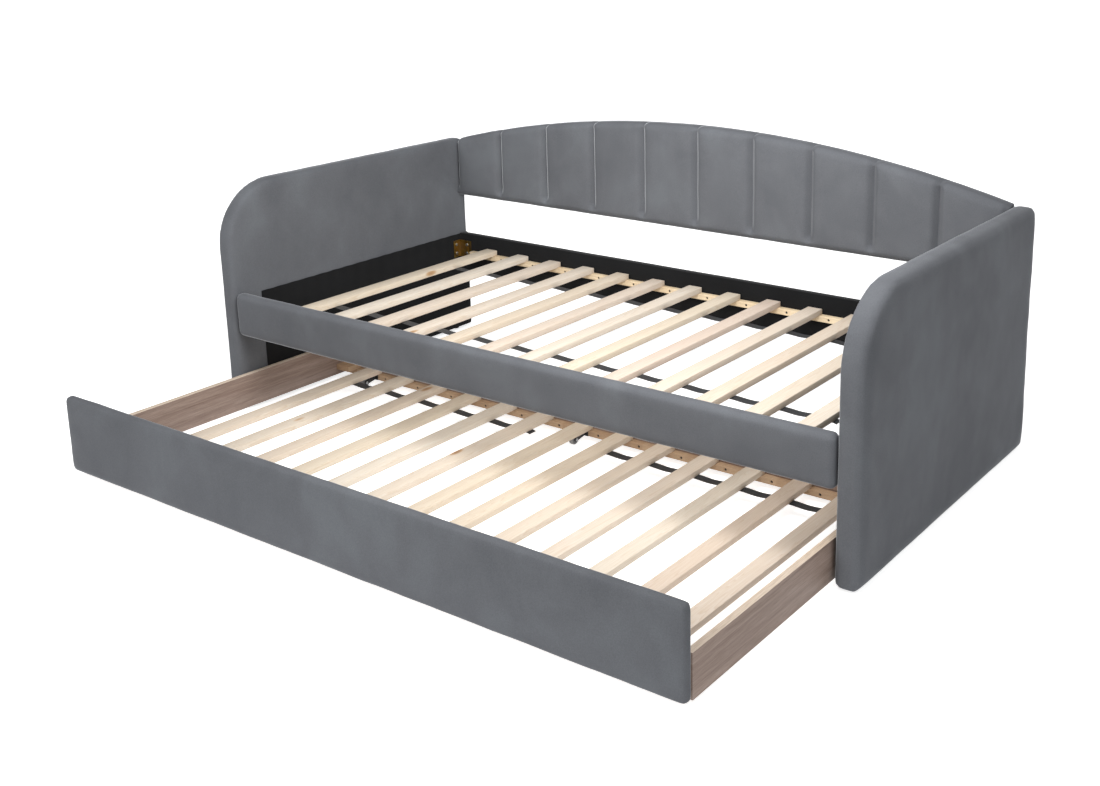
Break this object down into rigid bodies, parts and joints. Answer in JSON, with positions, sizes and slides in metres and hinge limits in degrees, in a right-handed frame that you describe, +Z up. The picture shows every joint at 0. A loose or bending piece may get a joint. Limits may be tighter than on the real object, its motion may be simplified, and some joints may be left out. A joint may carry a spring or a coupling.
{
  "type": "trundle bed",
  "caption": "Upholstered single daybed with arched channelled back, slatted deck and a pull-out trundle box on small wheels.",
  "frame": {"origin": "middle of the footprint at floor level with the trundle drawn out 0.579 m", "axes": "+X along the bed towards the right arm as seen from the front, +Y from the front to the back, +Z up"},
  "size_m": [2.15, 1.614, 0.83],
  "materials": {
    "velvet": "short-pile velvet over thin foam",
    "hardboard": "brown hardboard",
    "frame_timber": "planed softwood and particle board, covered in use",
    "black_cloth": "black non-woven lining cloth",
    "glide_plastic": "moulded black nylon",
    "bright_steel": "bright zinc-plated steel",
    "ledger_pine": "planed pale pine",
    "black_screw": "black phosphated steel",
    "yellow_zinc": "yellow zinc-plated pressed steel",
    "webbing": "ribbed black polypropylene webbing",
    "slat_pine": "planed unfinished pine",
    "drawer_board": "brown-grey wood-grain board with pale edges",
    "ledger_timber": "planed timber strip",
    "fork_steel": "black painted pressed steel",
    "wheel_plastic": "moulded grey plastic"
  },
  "bodies": {
    "bed": {"left_arm_cover": "velvet", "right_arm_cover": "velvet", "left_arm_skins": "hardboard", "right_arm_skins": "hardboard", "left_arm_frame": "frame_timber", "right_arm_frame": "frame_timber", "left_arm_lining": "black_cloth", "right_arm_lining": "black_cloth", "arm_glides": "glide_plastic", "back_panel_cover": "velvet", "back_panel_frame": "frame_timber", "back_panel_cloth": "black_cloth", "back_panel_dowels": "bright_steel", "front_rail_cover": "velvet", "front_rail_board": "frame_timber", "rear_rail_board": "frame_timber", "rear_rail_cloth": "black_cloth", "front_ledger": "ledger_pine", "rear_ledger": "ledger_pine", "ledger_screws": "black_screw", "front_left_bracket": "yellow_zinc", "front_right_bracket": "yellow_zinc", "rear_left_bracket": "yellow_zinc", "rear_right_bracket": "yellow_zinc", "bracket_bolts": "bright_steel", "deck_straps": "webbing", "deck_slat_1": "slat_pine", "deck_slat_2": "slat_pine", "deck_slat_3": "slat_pine", "deck_slat_4": "slat_pine", "deck_slat_5": "slat_pine", "deck_slat_6": "slat_pine", "deck_slat_7": "slat_pine", "deck_slat_8": "slat_pine", "deck_slat_9": "slat_pine", "deck_slat_10": "slat_pine", "deck_slat_11": "slat_pine", "deck_slat_12": "slat_pine", "deck_slat_13": "slat_pine"},
    "trundle": {"trundle_panel_cover": "velvet", "trundle_panel_board": "frame_timber", "trundle_left_board": "drawer_board", "trundle_right_board": "drawer_board", "trundle_rear_board": "drawer_board", "trundle_front_ledger": "ledger_timber", "trundle_rear_ledger": "ledger_timber", "trundle_blocks": "ledger_timber", "trundle_screws": "black_screw", "trundle_left_slats": "slat_pine", "trundle_middle_slat": "slat_pine", "trundle_right_slats": "slat_pine", "trundle_straps": "webbing", "caster_forks": "fork_steel", "caster_axles": "bright_steel"},
    "front_left_wheel": {"front_left_wheel": "wheel_plastic"},
    "front_middle_wheel": {"front_middle_wheel": "wheel_plastic"},
    "front_right_wheel": {"front_right_wheel": "wheel_plastic"},
    "rear_left_wheel": {"rear_left_wheel": "wheel_plastic"},
    "rear_middle_wheel": {"rear_middle_wheel": "wheel_plastic"},
    "rear_right_wheel": {"rear_right_wheel": "wheel_plastic"}
  },
  "joints": [
    {"name": "trundle_slide", "type": "slide", "parent": "bed", "child": "trundle", "axis": [0, -1, 0], "range_m": [-0.579, 0.43]},
    {"name": "front_left_wheel_spin", "type": "hinge", "parent": "trundle", "child": "front_left_wheel", "pos_m": [-0.855, -0.72, 0.016], "axis": [1, 0, 0], "continuous": true},
    {"name": "front_middle_wheel_spin", "type": "hinge", "parent": "trundle", "child": "front_middle_wheel", "pos_m": [0, -0.72, 0.016], "axis": [1, 0, 0], "continuous": true},
    {"name": "front_right_wheel_spin", "type": "hinge", "parent": "trundle", "child": "front_right_wheel", "pos_m": [0.855, -0.72, 0.016], "axis": [1, 0, 0], "continuous": true},
    {"name": "rear_left_wheel_spin", "type": "hinge", "parent": "trundle", "child": "rear_left_wheel", "pos_m": [-0.855, 0.124, 0.016], "axis": [1, 0, 0], "continuous": true},
    {"name": "rear_middle_wheel_spin", "type": "hinge", "parent": "trundle", "child": "rear_middle_wheel", "pos_m": [0, 0.124, 0.016], "axis": [1, 0, 0], "continuous": true},
    {"name": "rear_right_wheel_spin", "type": "hinge", "parent": "trundle", "child": "rear_right_wheel", "pos_m": [0.855, 0.124, 0.016], "axis": [1, 0, 0], "continuous": true}
  ]
}
